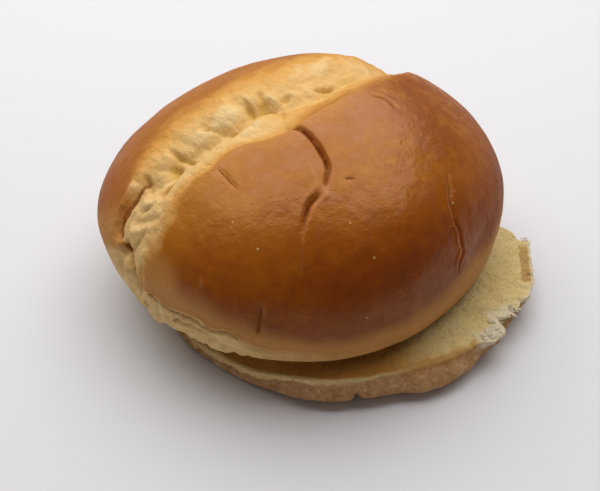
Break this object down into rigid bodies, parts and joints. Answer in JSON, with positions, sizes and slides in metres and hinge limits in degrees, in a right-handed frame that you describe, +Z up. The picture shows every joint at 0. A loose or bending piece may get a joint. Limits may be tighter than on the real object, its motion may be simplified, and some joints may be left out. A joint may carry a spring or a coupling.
{
  "type": "bread roll",
  "caption": "Soft split-top bread roll, sliced through: a domed, glazed crown resting off centre on its thin heel.",
  "frame": {"origin": "centre of the heel's flat base", "axes": "+X along the split in the crown's crust, +Z up from the base through the crown"},
  "size_m": [0.1092, 0.1121, 0.0555],
  "materials": {
    "glazed_crust": "satin",
    "pale_crust": "matte"
  },
  "bodies": {
    "root": {"crown": "glazed_crust", "heel": "pale_crust"}
  },
  "joints": []
}
